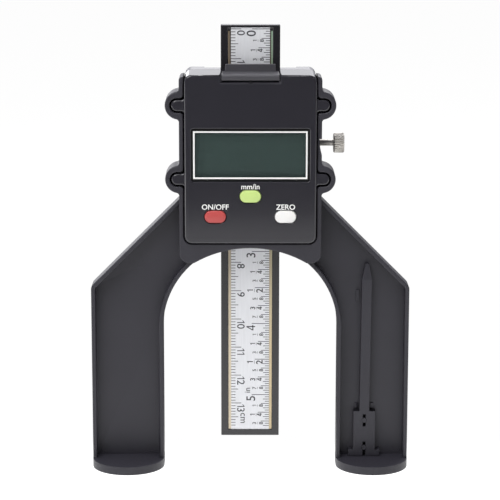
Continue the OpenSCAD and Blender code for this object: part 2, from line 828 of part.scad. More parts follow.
// Drawer that lifts out of the top: head, finger lip and a ring for the cell
module battery_drawer() {
    bevel = 0.5;
    foot_x = drawer_x - lip_inset;
    color(charcoal) {
        difference() {
            slab(-drawer_x, drawer_x, head_y0, lip_y1, head_z0, head_z1);
            along_x(-drawer_x - 1, drawer_x + 1) polygon([[head_y0 - 1, head_z1 - bevel - 1],
                [head_y0 + bevel, head_z1 + eps], [head_y0 - 1, head_z1 + eps]]);
        }
        hull() {
            slab(-foot_x, foot_x, lip_y0 - lip_lean, lip_y1, head_z1 - eps, head_z1);
            slab(-lip_w / 2, lip_w / 2, lip_y0, lip_y1, head_z1 + lip_h - eps, head_z1 + lip_h);
        }
        difference() {
            slab(-tray_side, tray_side, cell_y0, cell_y1, tray_z0, head_z0 + 0.5);
            rod_along_y(0, cell_z, cell_d / 2 + cell_gap, cell_y0 - 1, cell_y1 + 1);
        }
    }
}

module coin_cell() {
    rim = 0.6;
    color("#c8c8c6") {
        rod_along_y(0, cell_z, cell_d / 2, cell_y0, cell_y1 - rim);
        rod_along_y(0, cell_z, cell_d / 2 - 1, cell_y1 - rim - eps, cell_y1);
    }
}

// Bridge over the drawer that touches the front of the cell
module battery_contact_positive() {
    leg_t = 0.5;
    leg_room = 0.6;
    half = 2;
    leg_x0 = drawer_x + tray_gap + leg_room;
    leg_x1 = leg_x0 + leg_t;
    y0 = cell_y0 - contact_gap - contact_t;
    color(steel) {
        slab(-leg_x1, leg_x1, y0, y0 + contact_t, cell_z - half, cell_z + half);
        both_sides() slab(leg_x0, leg_x1, y0, pcb_y0, cell_z - half, cell_z + half);
    }
}

// Sprung finger on the board that touches the back of the cell
module battery_contact_negative() {
    half = 1.6;
    seat_h = 3;
    rise_h = 3.4;
    tip_h = 1.6;
    foot_z = cell_z - seat_h - tip_h;
    seat_z = foot_z + seat_h;
    bend_z = seat_z + rise_h;
    tip_z = bend_z + tip_h;
    tip_y = cell_y1 + contact_gap;
    color(steel) along_x(-half, half) polygon([[pcb_y0, foot_z], [pcb_y0, seat_z],
        [pcb_y0 - contact_t, seat_z + contact_t], [tip_y + contact_t, bend_z], [tip_y + contact_t, tip_z],
        [tip_y, tip_z], [tip_y, bend_z], [pcb_y0 - 2 * contact_t, seat_z],
        [pcb_y0 - contact_t, foot_z]]);
}

// Brass bush with the lock screw's thread
module lock_insert() {
    color(brass) difference() {
        rod_along_x(screw_y, lock_z, insert_r, insert_x0, body_x - 0.1);
        rod_along_x(screw_y, lock_z, screw_r + turn_gap, insert_x0 - 1, body_x + 1);
    }
}

// Thumb screw with a straight-knurled head
module lock_screw() {
    tip_x = pad_x1 - socket_d + turn_gap;
    step = 360 / knurls;
    head_r = head_d / 2;
    color(steel) {
        rod_along_x(screw_y, lock_z, screw_r, tip_x, head_x + 0.5);
        along_x(head_x, head_x + head_l) translate([screw_y, lock_z]) polygon([
            for (i = [0:knurls - 1], half = [0, 1])
                let (a = (i + half / 2) * step, r = head_r - half * knurl_d)
                [r * cos(a), r * sin(a)]]);
    }
}

// Plastic shoe that the lock screw presses against the bar's edge
module brake_pad() {
    color("#d8d4c8") difference() {
        slab(pad_x0, pad_x1, seam_y + 0.1, pad_y1, lock_z - pad_half, lock_z + pad_half);
        rod_along_x(screw_y, lock_z, screw_r + turn_gap, pad_x1 - socket_d, pad_x1 + 1);
    }
}

// Moulded bar with an inlay bed in front and a clip bed for the probe at the back of its foot
module scale_bar() {
    bed_x = board_w / 2 + inlay_gap;
    bed_y = board_y + board_t;
    clip_bed_d = 1.4;
    clip_bed_gap = 0.15;
    clip_bed_x = clip_w / 2 + clip_bed_gap;
    color(dark) {
        difference() {
            slab(-bar_x, bar_x, bar_y0, bar_y1, bar_lift, bar_z1);
            slab(-bed_x, bed_x, bar_y0 - 1, bed_y, rule_z0 - inlay_gap, board_z1 + inlay_gap);
            slab(-bed_x, bed_x, bar_y0 - 1, board_y, board_z1, rule_z1 + inlay_gap);
            slab(-clip_bed_x, clip_bed_x, bar_y1 - clip_bed_d, bar_y1 + 1, bar_lift - 1, bar_lift + clip_h);
        }
        for (z = [bar_lift + peg_rise, bar_lift + peg_rise + peg_pitch])
            rod_along_y(0, z, peg_d / 2, bar_y1 - clip_bed_d - 0.3, bar_y1);
    }
}

// Circuit board strip with the capacitive pattern
module scale_board() {
    color("#dcc79a") slab(-board_w / 2, board_w / 2, board_y, board_y + board_t, rule_z0, board_z1);
}

// Printed silver rule
module rule_label() {
    color("#d9dbe0") slab(-label_w / 2, label_w / 2, label_y, board_y, rule_z0, rule_z1);
}

// Bowed leaf that gives the bar its drag
module friction_spring() {
    seat = 6;
    rub_gap = 0.05;
    mid_z = body_z0 + body_h / 2;
    crest_y = bar_y1 + rub_gap;
    color(steel) along_x(-spring_w / 2, spring_w / 2) translate([0, mid_z]) polygon([
        [channel_y, -spring_l / 2], [channel_y, -spring_l / 2 + seat], [crest_y + spring_t, -seat / 2],
        [crest_y + spring_t, seat / 2], [channel_y, spring_l / 2 - seat], [channel_y, spring_l / 2],
        [channel_y - spring_t, spring_l / 2], [channel_y - spring_t, spring_l / 2 - seat],
        [crest_y, seat / 2], [crest_y, -seat / 2], [channel_y - spring_t, -spring_l / 2 + seat],
        [channel_y - spring_t, -spring_l / 2]]);
}

// Slim probe for grooves, stored on its two pegs in the right leg
module groove_probe() {
    taper_z = probe_z1 - taper_l;
    taper_x = rod_lean * (taper_z - clip_z1) / (probe_z1 - clip_z1);
    tip_y = (clip_y0 + clip_y1) / 2;
    color(charcoal) translate([probe_x, 0, 0]) difference() {
        union() {
            slab(-clip_w / 2, clip_w / 2, clip_y0, clip_y1, probe_z0, clip_z1);
            slab(-clip_foot_w / 2, clip_foot_w / 2, clip_y0, clip_y1, probe_z0, probe_z0 + clip_foot_h);
            hull() {
                slab(-rod_w / 2, rod_w / 2, clip_y0, clip_y1, clip_z1 - 1, clip_z1);
                translate([taper_x, 0, 0])
                    slab(-rod_w / 2, rod_w / 2, clip_y0, clip_y1, taper_z - eps, taper_z);
            }
            hull() {
                translate([taper_x, 0, 0])
                    slab(-rod_w / 2, rod_w / 2, clip_y0, clip_y1, taper_z - eps, taper_z);
                translate([rod_lean, tip_y, 0])
                    slab(-tip_w / 2, tip_w / 2, -tip_w / 2, tip_w / 2, probe_z1 - eps, probe_z1);
            }
        }
        for (z = [peg_z, peg_z + peg_pitch]) {
            rod_along_y(0, z, peg_hole_r, clip_y0 - 2, clip_y1 + 1);
            slab(-slit_w / 2, slit_w / 2, clip_y0 - 2, clip_y1 + 1, z - slit_l / 2, z + slit_l / 2);
        }
        slab(-slit_w / 2, slit_w / 2, clip_y0 - 2, clip_y1 + 1, probe_z0 - 1, peg_z);
    }
}

stand_frame();
foot_magnets();
front_housing();
back_cover();
cover_screws();
frame_screws();
display_window();
lcd_panel();
zebra_strip();
main_board();
board_screws();
control_chip();
crystal_can();
key_mat();
on_off_button();
unit_button();
zero_button();
battery_drawer();
coin_cell();
battery_contact_positive();
battery_contact_negative();
lock_insert();
lock_screw();
brake_pad();
scale_bar();
scale_board();
rule_label();
friction_spring();
groove_probe();
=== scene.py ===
"""Looks of a digital height gauge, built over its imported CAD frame.

Lengths are in millimetres until a mesh is made, and in metres in the studio."""

import math

import bmesh
import bpy
import numpy as np
from mathutils import Matrix, Vector


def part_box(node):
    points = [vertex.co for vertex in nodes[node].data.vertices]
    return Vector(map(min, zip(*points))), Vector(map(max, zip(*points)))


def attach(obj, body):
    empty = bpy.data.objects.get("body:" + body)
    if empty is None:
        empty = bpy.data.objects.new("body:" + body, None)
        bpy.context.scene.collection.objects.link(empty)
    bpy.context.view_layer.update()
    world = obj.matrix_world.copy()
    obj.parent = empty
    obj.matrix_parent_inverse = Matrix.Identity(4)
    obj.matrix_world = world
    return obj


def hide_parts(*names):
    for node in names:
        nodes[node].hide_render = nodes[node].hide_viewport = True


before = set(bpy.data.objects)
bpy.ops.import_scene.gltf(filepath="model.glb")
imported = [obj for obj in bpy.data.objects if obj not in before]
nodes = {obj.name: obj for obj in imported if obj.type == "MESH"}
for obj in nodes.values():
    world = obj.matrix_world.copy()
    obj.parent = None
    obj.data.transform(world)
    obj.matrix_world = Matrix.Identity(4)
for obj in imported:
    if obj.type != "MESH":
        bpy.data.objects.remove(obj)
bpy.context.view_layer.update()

# Stand frame
# One injection moulding in charcoal ABS: the ring round the display body, two hollow arms and
# legs, and two flat feet. The tool's spark-eroded skin leaves it satin, with soft edges.
MM = 0.001
noise_span = {"From Min": 0.3, "From Max": 0.7}     # where nearly all values of a noise lie
flow_length = 20                                    # mm over which a moulding's tone drifts
gloss_drift = 0.05                                  # how far the grain changes its roughness


def linear(colour):
    """Linear RGBA of an sRGB hex colour: each channel is divided by 12.92 in the dark, else
    raised to 2.4."""
    code = np.array([int(colour[i:i + 2], 16) for i in (1, 3, 5)]) / 255
    channels = np.where(code <= 0.04045, code / 12.92, ((code + 0.055) / 1.055) ** 2.4)
    return (*channels.tolist(), 1.0)


def add(tree, kind, sockets=None, **settings):
    """Adds a node, sets its properties, and sets each socket to a value or links an output to
    it."""
    node = tree.nodes.new(kind)
    for key, value in settings.items():
        setattr(node, key, value)
    for key, value in (sockets or {}).items():
        if isinstance(value, bpy.types.NodeSocket):
            tree.links.new(value, node.inputs[key])
        else:
            node.inputs[key].default_value = value
    return node


def new_material(name):
    """A new material, its empty tree, and the Object coordinates that its patterns are laid on."""
    material = bpy.data.materials.new(name)
    material.use_nodes = True
    tree = material.node_tree
    tree.nodes.clear()
    return material, tree, add(tree, "ShaderNodeTexCoord").outputs["Object"]


def moulded_plastic(name, colour, roughness, grain, relief, ior=1.53, drift=0.05):
    """A moulded plastic. The grain is a noise of that size in mm, raised by relief mm, which also
    roughens the gloss a little, and the tone drifts by the share drift over flow_length mm."""
    material, tree, place = new_material(name)
    skin = add(tree, "ShaderNodeTexNoise", {
        "Vector": place, "Scale": 1 / (grain * MM), "Detail": 2.0})
    flow = add(tree, "ShaderNodeTexNoise", {
        "Vector": place, "Scale": 1 / (flow_length * MM), "Detail": 1.0})
    tone = add(tree, "ShaderNodeMapRange", {
        "Value": flow.outputs["Fac"], **noise_span, "To Min": 1 - drift, "To Max": 1 + drift})
    tint = add(tree, "ShaderNodeHueSaturation", {
        "Color": linear(colour), "Value": tone.outputs["Result"]})
    gloss = add(tree, "ShaderNodeMapRange", {
        "Value": skin.outputs["Fac"], **noise_span,
        "To Min": roughness - gloss_drift, "To Max": roughness + gloss_drift})
    bump = add(tree, "ShaderNodeBump", {
        "Height": skin.outputs["Fac"], "Strength": 1.0, "Distance": relief * MM})
    shader = add(tree, "ShaderNodeBsdfPrincipled", {
        "Base Color": tint.outputs["Color"], "Roughness": gloss.outputs["Result"], "IOR": ior,
        "Normal": bump.outputs["Normal"]})
    add(tree, "ShaderNodeOutputMaterial", {"Surface": shader.outputs["BSDF"]})
    return material


def set_piece(name, mesh, material, body):
    """Makes a mesh a piece of that material at the origin, which moves with a body."""
    mesh.materials.clear()
    mesh.materials.append(material)
    piece = bpy.data.objects.new(name, mesh)
    bpy.context.scene.collection.objects.link(piece)
    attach(piece, body)
    return piece


merge_distance = 0.02       # mm between points that are one
flat_angle = 0.5            # degrees between faces that are one
corner_angle = 40           # degrees from which an edge is rounded
sharp_angle = 32            # degrees from which it is shaded as sharp
crossing = 0.9              # cosine up to which two edges run across each other
round_share = 0.4           # of an edge's length that a round beside it may take
round_steps = 3
depth_slack = 0.001         # mm between depths that are one


def dressed_copy(node, name, body, material, edge, share_of=None, cut_z=None):
    """A merged copy of a CAD node that stands for it, with its outer edges rounded.

    An edge is rounded by edge mm times its share, and by no more than round_share of the shortest
    edge across it. share_of gives the share by the edge's two ends in mm, 0 for none, and without
    it all have 1. cut_z is a height in mm where long faces are split, so that a round can stop."""
    mesh = nodes[node].data.copy()
    mesh.name = name
    work = bmesh.new()
    work.from_mesh(mesh)
    bmesh.ops.remove_doubles(work, verts=work.verts, dist=merge_distance * MM)
    bmesh.ops.dissolve_degenerate(work, edges=work.edges, dist=merge_distance * MM)
    bmesh.ops.dissolve_limit(work, angle_limit=math.radians(flat_angle), verts=work.verts,
                             edges=work.edges)
    if cut_z:
        bmesh.ops.bisect_plane(work, geom=work.verts[:] + work.edges[:] + work.faces[:], dist=1e-6,
                               plane_co=(0, 0, cut_z * MM), plane_no=(0, 0, 1))
    weight = work.edges.layers.float.new("bevel_weight_edge")
    for line in work.edges:
        outer = line.is_manifold and line.is_convex
        if not (outer and line.calc_face_angle() > math.radians(corner_angle)):
            continue
        start, end = (corner.co / MM for corner in line.verts)
        share = float(share_of(start, end)) if share_of else 1.0
        if share:
            along = (end - start).normalized()
            spans = [other.verts[1].co - other.verts[0].co
                     for corner in line.verts for other in corner.link_edges if other is not line]
            room = [round_share * span.length / MM for span in spans
                    if abs(along.dot(span.normalized())) < crossing]
            line[weight] = min(room + [edge * share]) / edge
    work.to_mesh(mesh)
    work.free()
    mesh.shade_smooth()
    mesh.set_sharp_from_angle(angle=math.radians(sharp_angle))
    piece = set_piece(name, mesh, material, body)
    round_edge = piece.modifiers.new("round_edge", "BEVEL")
    round_edge.limit_method = "WEIGHT"
    round_edge.width = edge * MM
    round_edge.segments = round_steps
    round_edge.use_clamp_overlap = False
    flat_sides = piece.modifiers.new("flat_sides", "WEIGHTED_NORMAL")
    flat_sides.weight = 100
    flat_sides.keep_sharp = True
    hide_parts(node)
    return piece


def keeps_depth(start, end):
    """Whether an edge bounds a plane that faces the front or the back."""
    return abs(start.y - end.y) < depth_slack


foot_top = 3.3              # the feet keep their own rounds below this
front_plane, arm_back, ring_side = -3.9, 3.9, 24.0


def frame_edges(start, end):
    """Edges of the frame's front planes, and of the arms' back plane, above the feet."""
    on_arm_back = start.y > arm_back and abs(start.x) > ring_side
    outer_plane = start.y < front_plane or on_arm_back
    return keeps_depth(start, end) and min(start.z, end.z) > foot_top and outer_plane


# ABS, moulded in a spark-eroded tool: an even satin with broad, soft lights. The real grain is
# near 0.1 mm, drawn at 0.3 mm so that it shows.
charcoal_abs = moulded_plastic("abs_charcoal_spark_eroded", "#302f36", 0.45, 0.3, 0.004, ior=1.46)
dressed_copy("stand_frame", "stand_frame_moulding", "stand", charcoal_abs,
             edge=0.35, share_of=frame_edges, cut_z=3.6)

# Foot magnets
# Four nickel-plated neodymium discs, pressed into pockets under the feet. The plating is bright,
# with a faint haze from handling.
metal_relief = 0.003        # mm


def dress_node(node, material):
    """Gives a CAD node that keeps its own shape its finish."""
    mesh = nodes[node].data
    mesh.materials.clear()
    mesh.materials.append(material)


def worked_metal(name, colour, roughness, grain, streak=(1, 1, 1)):
    """A metal whose tone and gloss vary over a noise of grain mm, drawn out along the axes where
    streak is small."""
    material, tree, place = new_material(name)
    drawn = add(tree, "ShaderNodeMapping", {"Vector": place, "Scale": streak})
    marks = add(tree, "ShaderNodeTexNoise", {
        "Vector": drawn.outputs["Vector"], "Scale": 1 / (grain * MM), "Detail": 3.0})
    tone = add(tree, "ShaderNodeMapRange", {
        "Value": marks.outputs["Fac"], **noise_span, "To Min": 0.88, "To Max": 1.08})
    tint = add(tree, "ShaderNodeHueSaturation", {
        "Color": linear(colour), "Value": tone.outputs["Result"]})
    gloss = add(tree, "ShaderNodeMapRange", {
        "Value": marks.outputs["Fac"], **noise_span,
        "To Min": roughness * 0.8, "To Max": roughness * 1.2})
    bump = add(tree, "ShaderNodeBump", {
        "Height": marks.outputs["Fac"], "Strength": 1.0, "Distance": metal_relief * MM})
    shader = add(tree, "ShaderNodeBsdfPrincipled", {
        "Base Color": tint.outputs["Color"], "Metallic": 1.0, "Roughness": gloss.outputs["Result"],
        "Normal": bump.outputs["Normal"]})
    add(tree, "ShaderNodeOutputMaterial", {"Surface": shader.outputs["BSDF"]})
    return material


# Nickel plate over a pressed disc: a bright mirror with a slight cloud.
nickel_plate = worked_metal("nickel_plate_bright", "#cfccc6", 0.18, 1.5)
dress_node("foot_magnets", nickel_plate)

# Front housing
# Front shell of the display body, moulded in the same charcoal ABS as the frame, with a sharper
# seam, a round front edge and four tabs that are screwed to the frame's lugs.
seam_depth = 2.0
tab_start = 22.12


def housing_edges(start, end):
    """Share of each edge's round: whole on the side tabs, half on the other front planes and
    openings, and none behind the seam."""
    if start.y >= seam_depth or not keeps_depth(start, end):
        return 0.0
    return 1.0 if min(abs(start.x), abs(end.x)) > tab_start else 0.5


# The same ABS from a finer tool: darker and glossier, so that it mirrors the table below it.
body_abs = moulded_plastic("abs_charcoal_fine_satin", "#28272d", 0.11, 0.3, 0.003, ior=1.62)
dressed_copy("front_housing", "front_housing_moulding", "stand", body_abs,
             edge=0.5, share_of=housing_edges)

# Display
# A clear acrylic window set into its recess, with a black border and a white outline printed on it,
# over the grey-green liquid crystal panel. A black ring on the recess floor round the window is
# painted shade of the recess.
lcd_low, lcd_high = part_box("lcd_panel")
window_low, window_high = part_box("display_window")
ink_lift = 0.02             # an ink's thickness
recess_margin, recess_floor = 0.55, window_high.y / MM - ink_lift
outline_left, outline_right, outline_low, outline_top = 0.12, 0.22, 0.35, 0.28
outline_width, outline_head, border_width = 0.55, 0.5, 0.6


def clear_acrylic(name):
    """Polished acrylic in a thin sheet: nearly all light passes straight through, with a faint
    cool veil. The haze is a noise of 6 mm in the gloss."""
    material, tree, place = new_material(name)
    haze = add(tree, "ShaderNodeTexNoise", {
        "Vector": place, "Scale": 1 / (6 * MM), "Detail": 2.0})
    gloss = add(tree, "ShaderNodeMapRange", {
        "Value": haze.outputs["Fac"], "To Min": 0.02, "To Max": 0.08})
    shader = add(tree, "ShaderNodeBsdfPrincipled", {
        "Base Color": linear("#2a3230"), "Roughness": gloss.outputs["Result"], "IOR": 1.49,
        "Alpha": 0.15})
    add(tree, "ShaderNodeOutputMaterial", {"Surface": shader.outputs["BSDF"]})
    return material


def crystal_panel(name):
    """Reflective liquid crystal panel at rest: a satin polariser over a grey-green mirror, with a
    painted sheen that pales it towards its top, and a cloud of 14 mm."""
    material, tree, place = new_material(name)
    height = add(tree, "ShaderNodeSeparateXYZ", {"Vector": place}).outputs["Z"]
    cloud = add(tree, "ShaderNodeTexNoise", {
        "Vector": place, "Scale": 1 / (14 * MM), "Detail": 1.0})
    # rise is painted light: a sheen that pales the panel towards its top.
    rise = add(tree, "ShaderNodeMapRange", {
        "Value": height, "From Min": lcd_low.z, "From Max": lcd_high.z,
        "To Min": 0.98, "To Max": 1.1})
    tone = add(tree, "ShaderNodeMath", {
        0: cloud.outputs["Fac"], 1: 0.12, 2: rise.outputs["Result"]}, operation="MULTIPLY_ADD")
    tint = add(tree, "ShaderNodeHueSaturation", {
        "Color": linear("#3e504d"), "Value": tone.outputs["Value"]})
    shader = add(tree, "ShaderNodeBsdfPrincipled", {
        "Base Color": tint.outputs["Color"], "Roughness": 0.3, "IOR": 1.5})
    add(tree, "ShaderNodeOutputMaterial", {"Surface": shader.outputs["BSDF"]})
    return material


def printed_ink(name, colour, roughness):
    """Screen-printed ink: an even colour that is a little uneven in thickness, so its tone varies
    over a noise of 0.5 mm."""
    material, tree, place = new_material(name)
    film = add(tree, "ShaderNodeTexNoise", {
        "Vector": place, "Scale": 1 / (0.5 * MM), "Detail": 2.0})
    tone = add(tree, "ShaderNodeMapRange", {
        "Value": film.outputs["Fac"], "To Min": 0.92, "To Max": 1.04})
    tint = add(tree, "ShaderNodeHueSaturation", {
        "Color": linear(colour), "Value": tone.outputs["Result"]})
    shader = add(tree, "ShaderNodeBsdfPrincipled", {
        "Base Color": tint.outputs["Color"], "Roughness": roughness})
    add(tree, "ShaderNodeOutputMaterial", {"Surface": shader.outputs["BSDF"]})
    return material


def front_quads(x0, x1, z0, z1, y):
    """A mark of upright rectangles at depth y: the points in mm, in the order that faces the
    front (-Y), and the faces of four points each."""
    x0, x1, z0, z1 = np.broadcast_arrays(x0, x1, z0, z1)
    flat = np.stack([x0, z0, x1, z0, x1, z1, x0, z1], axis=-1).reshape(-1, 2)
    points = np.column_stack([flat[:, 0], np.full(len(flat), y), flat[:, 1]])
    return points, np.arange(len(points)).reshape(-1, 4).tolist()


def frame_quads(x0, x1, z0, z1, side, low, top, y):
    """A mark of a rectangular outline: two upright strips of width side, and a low and a top strip
    between them."""
    return front_quads([x0, x1 - side, x0 + side, x0 + side], [x0 + side, x1, x1 - side, x1 - side],
                       [z0, z0, z0, z1 - top], [z1, z1, z0 + low, z1], y)


def print_piece(name, marks, material, body):
    """One printed layer from several marks, each the points in mm and the faces of a flat shape."""
    points, faces, start = [], [], 0
    for mark_points, mark_faces in marks:
        points.append(mark_points)
        faces += [[start + i for i in face] for face in mark_faces]
        start += len(mark_points)
    mesh = bpy.data.meshes.new(name)
    mesh.from_pydata((np.concatenate(points) * MM).tolist(), [], faces)
    return set_piece(name, mesh, material, body)


dress_node("display_window", clear_acrylic("acrylic_window_polished"))
dress_node("lcd_panel", crystal_panel("lcd_polariser_satin"))
# Screen inks: a flat, clean white and a dull black.
white_ink = printed_ink("screen_ink_white", "#f4f4f2", 0.5)
black_ink = printed_ink("screen_ink_black", "#0d0d0e", 0.6)
wx0, wx1 = window_low.x / MM, window_high.x / MM
wz0, wz1 = window_low.z / MM, window_high.z / MM
outline = frame_quads(wx0 + outline_left, wx1 - outline_right, wz0 + outline_low, wz1 - outline_top,
                      outline_width, outline_width, outline_head, window_low.y / MM - ink_lift)
border = frame_quads(wx0, wx1, wz0, wz1, border_width, border_width, border_width,
                     window_low.y / MM - ink_lift / 2)
# The black ring round the window on the recess floor is painted shade of the recess, in the black
# ink.
recess_shade_ring = frame_quads(wx0 - recess_margin, wx1 + recess_margin, wz0 - recess_margin,
                   wz1 + recess_margin, recess_margin, recess_margin, recess_margin, recess_floor)
print_piece("window_outline_print", [outline], white_ink, "stand")
print_piece("window_border_print_and_recess_shade", [border, recess_shade_ring], black_ink, "stand")

# Inside of the body
# Circuit board with the measuring chip under resin, its clock crystal, the rubber strip that feeds
# the display, and the silicone key mat. They are hidden behind the housing.
# Solder mask: a green lacquer, glossy over the copper. Epoxy: a poured black drop, glossier still.
dress_node("main_board", moulded_plastic("solder_mask_green", "#2f6b45", 0.3, 0.8, 0.004))
dress_node("control_chip", moulded_plastic("epoxy_drop_black", "#161616", 0.18, 1.2, 0.004))
# Silicone rubber, pressed: matt and soft.
dress_node("key_mat", moulded_plastic("silicone_grey", "#8d8d8a", 0.6, 0.4, 0.004, ior=1.41))
dress_node("zebra_strip", moulded_plastic("silicone_banded", "#c9c9c4", 0.6, 0.4, 0.004, ior=1.41))
# Zinc plate, passivated: a plain bright grey, a little clouded.
zinc_plate = worked_metal("zinc_plate_passivated", "#b4b0aa", 0.32, 0.6)
dress_node("crystal_can", zinc_plate)
dress_node("board_screws", zinc_plate)

# Buttons
# Three moulded caps, red, green and white, that pass through the face. Each is a pill with a
# crowned top, a flange that keeps it in, and a stem that presses the key mat.
button_length, button_height = 7.1, 4.1
button_crown, button_edge = 0.14, 0.4
flange_lip, flange_front, flange_back = 0.8, -6.45, -5.65
stem_radius = 1.4
half_points, edge_points, dome_points, stem_points = 17, 7, 9, 32
pole_merge = 0.0005         # mm between points of a pole that are one


def grids_piece(name, grids, material, body, sharp=35):
    """A piece made of closed grids: each is an array of rows by columns of points in mm, whose
    columns join into a ring, and whose end rows shrink to a point or a line, where doubles are
    merged. Edges over sharp degrees are shaded as sharp."""
    points, faces, start = [], [], 0
    for grid in grids:
        rows, columns = grid.shape[:2]
        index = start + np.arange(rows * columns).reshape(rows, columns)
        along = np.roll(index, -1, axis=1)
        quads = np.stack([index[:-1], along[:-1], along[1:], index[1:]], axis=-1)
        faces.append(quads.reshape(-1, 4))
        points.append(grid.reshape(-1, 3) * MM)
        start += rows * columns
    mesh = bpy.data.meshes.new(name)
    mesh.from_pydata(np.concatenate(points).tolist(), [], np.concatenate(faces).tolist())
    work = bmesh.new()
    work.from_mesh(mesh)
    bmesh.ops.remove_doubles(work, verts=work.verts, dist=pole_merge * MM)
    bmesh.ops.recalc_face_normals(work, faces=work.faces)
    work.to_mesh(mesh)
    work.free()
    mesh.shade_smooth()
    mesh.set_sharp_from_angle(angle=math.radians(sharp))
    return set_piece(name, mesh, material, body)


def button_grids(x, z, front, stem_end):
    """Cap and stem of a button about (x, z). The cap carries a profile of inward offset and depth
    round a pill: the pill of that offset is two half circles about the ends of its middle line."""
    angle = np.linspace(-math.pi / 2, math.pi / 2, half_points)
    angle = np.concatenate([angle, angle + math.pi])
    end = np.repeat([1, -1], half_points) * (button_length - button_height) / 2
    middle = button_height / 2
    turn = np.linspace(0, math.pi / 2, edge_points)
    rim = button_crown + button_edge
    dome = np.linspace(0, 1, dome_points)[1:]
    inward = np.concatenate([
        [middle, -flange_lip, -flange_lip, 0], button_edge * (1 - np.cos(turn)),
        button_edge + (middle - button_edge) * dome])
    depth = np.concatenate([
        [flange_back, flange_back, flange_front, flange_front],
        front + rim - button_edge * np.sin(turn), front + button_crown * (1 - dome) ** 2])
    radius = (middle - inward)[:, None]
    cap = np.stack([x + end + radius * np.cos(angle),
                    np.broadcast_to(depth[:, None], (len(depth), len(angle))),
                    z + radius * np.sin(angle)], axis=-1)
    ring = np.linspace(0, 2 * math.pi, stem_points, endpoint=False)
    stem_r = np.array([0, 1, 1, 0])[:, None] * stem_radius
    stem_y = np.array([flange_back, flange_back, stem_end, stem_end])[:, None] + 0 * ring
    stem = np.stack([x + stem_r * np.cos(ring), stem_y, z + stem_r * np.sin(ring)], axis=-1)
    return [cap, stem]


# ABS caps from a smooth tool: clear colours with a soft light on the crown.
button_finish = {
    "on_off": moulded_plastic("abs_red_satin", "#ba4c4a", 0.38, 0.3, 0.002, drift=0.03),
    "unit": moulded_plastic("abs_green_satin", "#c2da84", 0.38, 0.3, 0.002, drift=0.03),
    "zero": moulded_plastic("abs_white_satin", "#efeeec", 0.38, 0.3, 0.002, drift=0.03)}
button_middle = {}
for key, finish in button_finish.items():
    low, high = (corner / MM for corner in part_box(key + "_button"))
    button_middle[key] = ((low.x + high.x) / 2, (low.z + high.z) / 2)
    cap_grids = button_grids(*button_middle[key], low.y, high.y)
    cap_piece = grids_piece(key + "_button_cap", cap_grids, finish, key)
    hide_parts(key + "_button")

# Button legends
# Plain words in white ink, one over each button, screen-printed on the housing's face once it is
# moulded.
legend_cap, legend_rise, legend_weight = 1.75, 3.35, 0.015
face_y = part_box("front_housing")[0].y / MM


def lettering(text, weight=0.0):
    """Points and faces of a line of text as a flat mesh, scaled so that its capitals are 1 high,
    from its left end; weight thickens the strokes."""
    shapes = []
    for words in (text, "H"):
        curve = bpy.data.curves.new("lettering", "FONT")
        curve.body = words
        curve.offset = weight
        curve.resolution_u = 4
        holder = bpy.data.objects.new("lettering", curve)
        bpy.context.scene.collection.objects.link(holder)
        mesh = bpy.data.meshes.new_from_object(holder)
        points = np.empty(len(mesh.vertices) * 3)
        mesh.vertices.foreach_get("co", points)
        faces = [list(polygon.vertices) for polygon in mesh.polygons]
        shapes.append((points.reshape(-1, 3)[:, :2], faces))
        bpy.data.objects.remove(holder)
        bpy.data.curves.remove(curve)
        bpy.data.meshes.remove(mesh)
    (points, faces), (capital, _) = shapes
    return (points - [points[:, 0].min(), 0]) / capital[:, 1].max(), faces


legends = []
for key, words in (("on_off", "ON/OFF"), ("unit", "mm/in"), ("zero", "ZERO")):
    letters, letter_faces = lettering(words, legend_weight)
    across = letters[:, 0] * legend_cap
    across += button_middle[key][0] - across.max() / 2
    up = letters[:, 1] * legend_cap + button_middle[key][1] + legend_rise - legend_cap / 2
    flat_y = np.full_like(across, face_y - ink_lift)
    legends.append((np.stack([across, flat_y, up], axis=-1), letter_faces))
print_piece("button_legends_print", legends, white_ink, "stand")

# Battery drawer
# A small moulded drawer that lifts out of the top by its finger lip, with a coin cell in its ring
# and two sprung contacts on the board.
# The same ABS from a tool of its own: paler and duller.
drawer_abs = moulded_plastic("abs_charcoal_dull", "#454449", 0.4, 0.3, 0.003)
dressed_copy("battery_drawer", "battery_drawer_moulding", "drawer", drawer_abs,
             edge=0.2)
# Stainless steel, drawn into a can, and spring steel, rolled: bright, with fine streaks along it.
stainless_cell = worked_metal("stainless_cell_bright", "#c9c9c7", 0.22, 1.0, (1, 1, 0.2))
spring_steel = worked_metal("spring_steel_rolled", "#bdbab2", 0.28, 0.5, (0.2, 1, 1))
dress_node("coin_cell", stainless_cell)
dress_node("battery_contact_positive", spring_steel)
dress_node("battery_contact_negative", spring_steel)

# Back cover
# Rear shell in the housing's ABS, with two rails and the channel that the bar slides in. Four
# screws hold it to the front housing, four more hold the housing to the frame, and a leaf spring
# drags on the bar.
dressed_copy("back_cover", "back_cover_moulding", "stand", body_abs,
             edge=0.25, share_of=keeps_depth)
dress_node("cover_screws", zinc_plate)
dress_node("frame_screws", zinc_plate)
dress_node("friction_spring", spring_steel)

# Gap shade strips
# Black strips in the gap between the body and the ring, as painted shade: they keep the gap as dark
# as its shade where the white surround would show through. A deep strip runs down each side and
# round the lower corner, and in front of it the side tabs part a second one into three lengths.
body_gap, gap_strip_width = 0.35, 0.33
cover_inset = 0.05          # of the back cover inside the housing's outline
gap_strip_head, gap_strip_foot_x = 1.2, 12.0
front_depths, back_depths = (-5.8, 0.9), (0.9, 3.6)
low_tab, high_tab, tab_room = 101.05, 125.95, 2.6
corner_radius = 2.4 + body_gap / 2
section_points, bend_points = 24, 9


